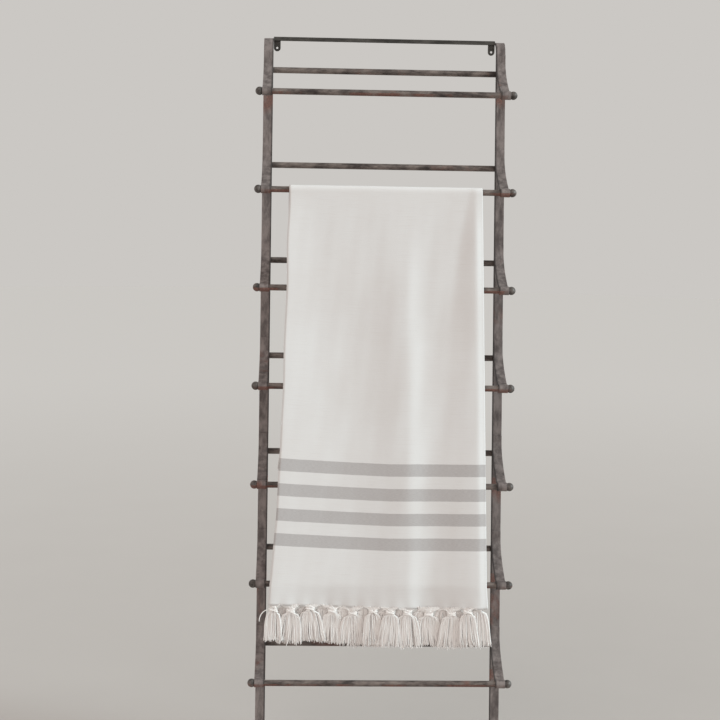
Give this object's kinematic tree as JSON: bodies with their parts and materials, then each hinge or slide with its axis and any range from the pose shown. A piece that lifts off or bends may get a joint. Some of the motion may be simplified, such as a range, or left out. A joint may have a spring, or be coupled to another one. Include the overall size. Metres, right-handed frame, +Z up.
{
  "type": "leaning blanket rack with folded throw",
  "caption": "Wrought-iron ladder rack that leans on a wall, with projecting turning rungs and ball ends, and a folded striped fringed throw over one rung.",
  "frame": {"origin": "on the floor, at the middle of the footprint between the lowest projecting eye and the wall, on the centre line between the rails", "axes": "+Z up, +X to the right along the rungs seen from the front, -Y to the front, +Y to the wall"},
  "size_m": [0.6428, 0.3906, 1.811],
  "materials": {
    "iron_flat_bar": "hand-finished dark brown-grey with thin rust bloom and worn edges",
    "iron_rung": "round bar, dark brown-grey, lightly rubbed on top",
    "iron_ball": "dark brown-grey, rubbed lighter",
    "cotton_weave": "flat-woven matt cotton, off-white with four warm grey stripes",
    "cotton_fringe": "knotted and twisted off-white cotton yarn"
  },
  "bodies": {
    "rack": {"rail_left": "iron_flat_bar", "rail_right": "iron_flat_bar", "rail_tip_left": "iron_flat_bar", "rail_tip_right": "iron_flat_bar", "top_bar": "iron_flat_bar", "wall_tab_left": "iron_flat_bar", "wall_tab_right": "iron_flat_bar", "back_rung_1": "iron_rung", "back_rung_2": "iron_rung", "back_rung_3": "iron_rung", "back_rung_4": "iron_rung", "back_rung_5": "iron_rung", "back_rung_6": "iron_rung", "back_rung_7": "iron_rung", "arm_left_1": "iron_flat_bar", "arm_left_2": "iron_flat_bar", "arm_left_3": "iron_flat_bar", "arm_left_4": "iron_flat_bar", "arm_left_5": "iron_flat_bar", "arm_left_6": "iron_flat_bar", "arm_left_7": "iron_flat_bar", "arm_right_1": "iron_flat_bar", "arm_right_2": "iron_flat_bar", "arm_right_3": "iron_flat_bar", "arm_right_4": "iron_flat_bar", "arm_right_5": "iron_flat_bar", "arm_right_6": "iron_flat_bar", "arm_right_7": "iron_flat_bar"},
    "front_rung_1": {"front_rung_1": "iron_rung", "ball_left_1": "iron_ball", "ball_right_1": "iron_ball"},
    "front_rung_2": {"front_rung_2": "iron_rung", "ball_left_2": "iron_ball", "ball_right_2": "iron_ball"},
    "front_rung_3": {"front_rung_3": "iron_rung", "ball_left_3": "iron_ball", "ball_right_3": "iron_ball"},
    "front_rung_4": {"front_rung_4": "iron_rung", "ball_left_4": "iron_ball", "ball_right_4": "iron_ball"},
    "front_rung_5": {"front_rung_5": "iron_rung", "ball_left_5": "iron_ball", "ball_right_5": "iron_ball"},
    "front_rung_6": {"front_rung_6": "iron_rung", "ball_left_6": "iron_ball", "ball_right_6": "iron_ball"},
    "front_rung_7": {"front_rung_7": "iron_rung", "ball_left_7": "iron_ball", "ball_right_7": "iron_ball"},
    "throw": {"throw_over_rung": "cotton_weave", "throw_front_drop": "cotton_weave", "throw_front_hem": "cotton_weave", "throw_back_drop": "cotton_weave", "fringe_front": "cotton_fringe", "fringe_back": "cotton_fringe"}
  },
  "joints": [
    {"name": "front_rung_1_turn", "type": "hinge", "parent": "rack", "child": "front_rung_1", "pos_m": [0, 0.03311, 1.66841], "axis": [1, 0, 0], "continuous": true},
    {"name": "front_rung_2_turn", "type": "hinge", "parent": "rack", "child": "front_rung_2", "pos_m": [0, -0.00319, 1.43117], "axis": [1, 0, 0], "continuous": true},
    {"name": "front_rung_3_turn", "type": "hinge", "parent": "rack", "child": "front_rung_3", "pos_m": [0, -0.0395, 1.19393], "axis": [1, 0, 0], "continuous": true},
    {"name": "front_rung_4_turn", "type": "hinge", "parent": "rack", "child": "front_rung_4", "pos_m": [0, -0.0758, 0.9567], "axis": [1, 0, 0], "continuous": true},
    {"name": "front_rung_5_turn", "type": "hinge", "parent": "rack", "child": "front_rung_5", "pos_m": [0, -0.1121, 0.71946], "axis": [1, 0, 0], "continuous": true},
    {"name": "front_rung_6_turn", "type": "hinge", "parent": "rack", "child": "front_rung_6", "pos_m": [0, -0.14841, 0.48222], "axis": [1, 0, 0], "continuous": true},
    {"name": "front_rung_7_turn", "type": "hinge", "parent": "rack", "child": "front_rung_7", "pos_m": [0, -0.18471, 0.24498], "axis": [1, 0, 0], "continuous": true},
    {"name": "throw_slide", "type": "slide", "parent": "rack", "child": "throw", "axis": [1, 0, 0], "range_m": [-0.0095, 0.0235]}
  ]
}
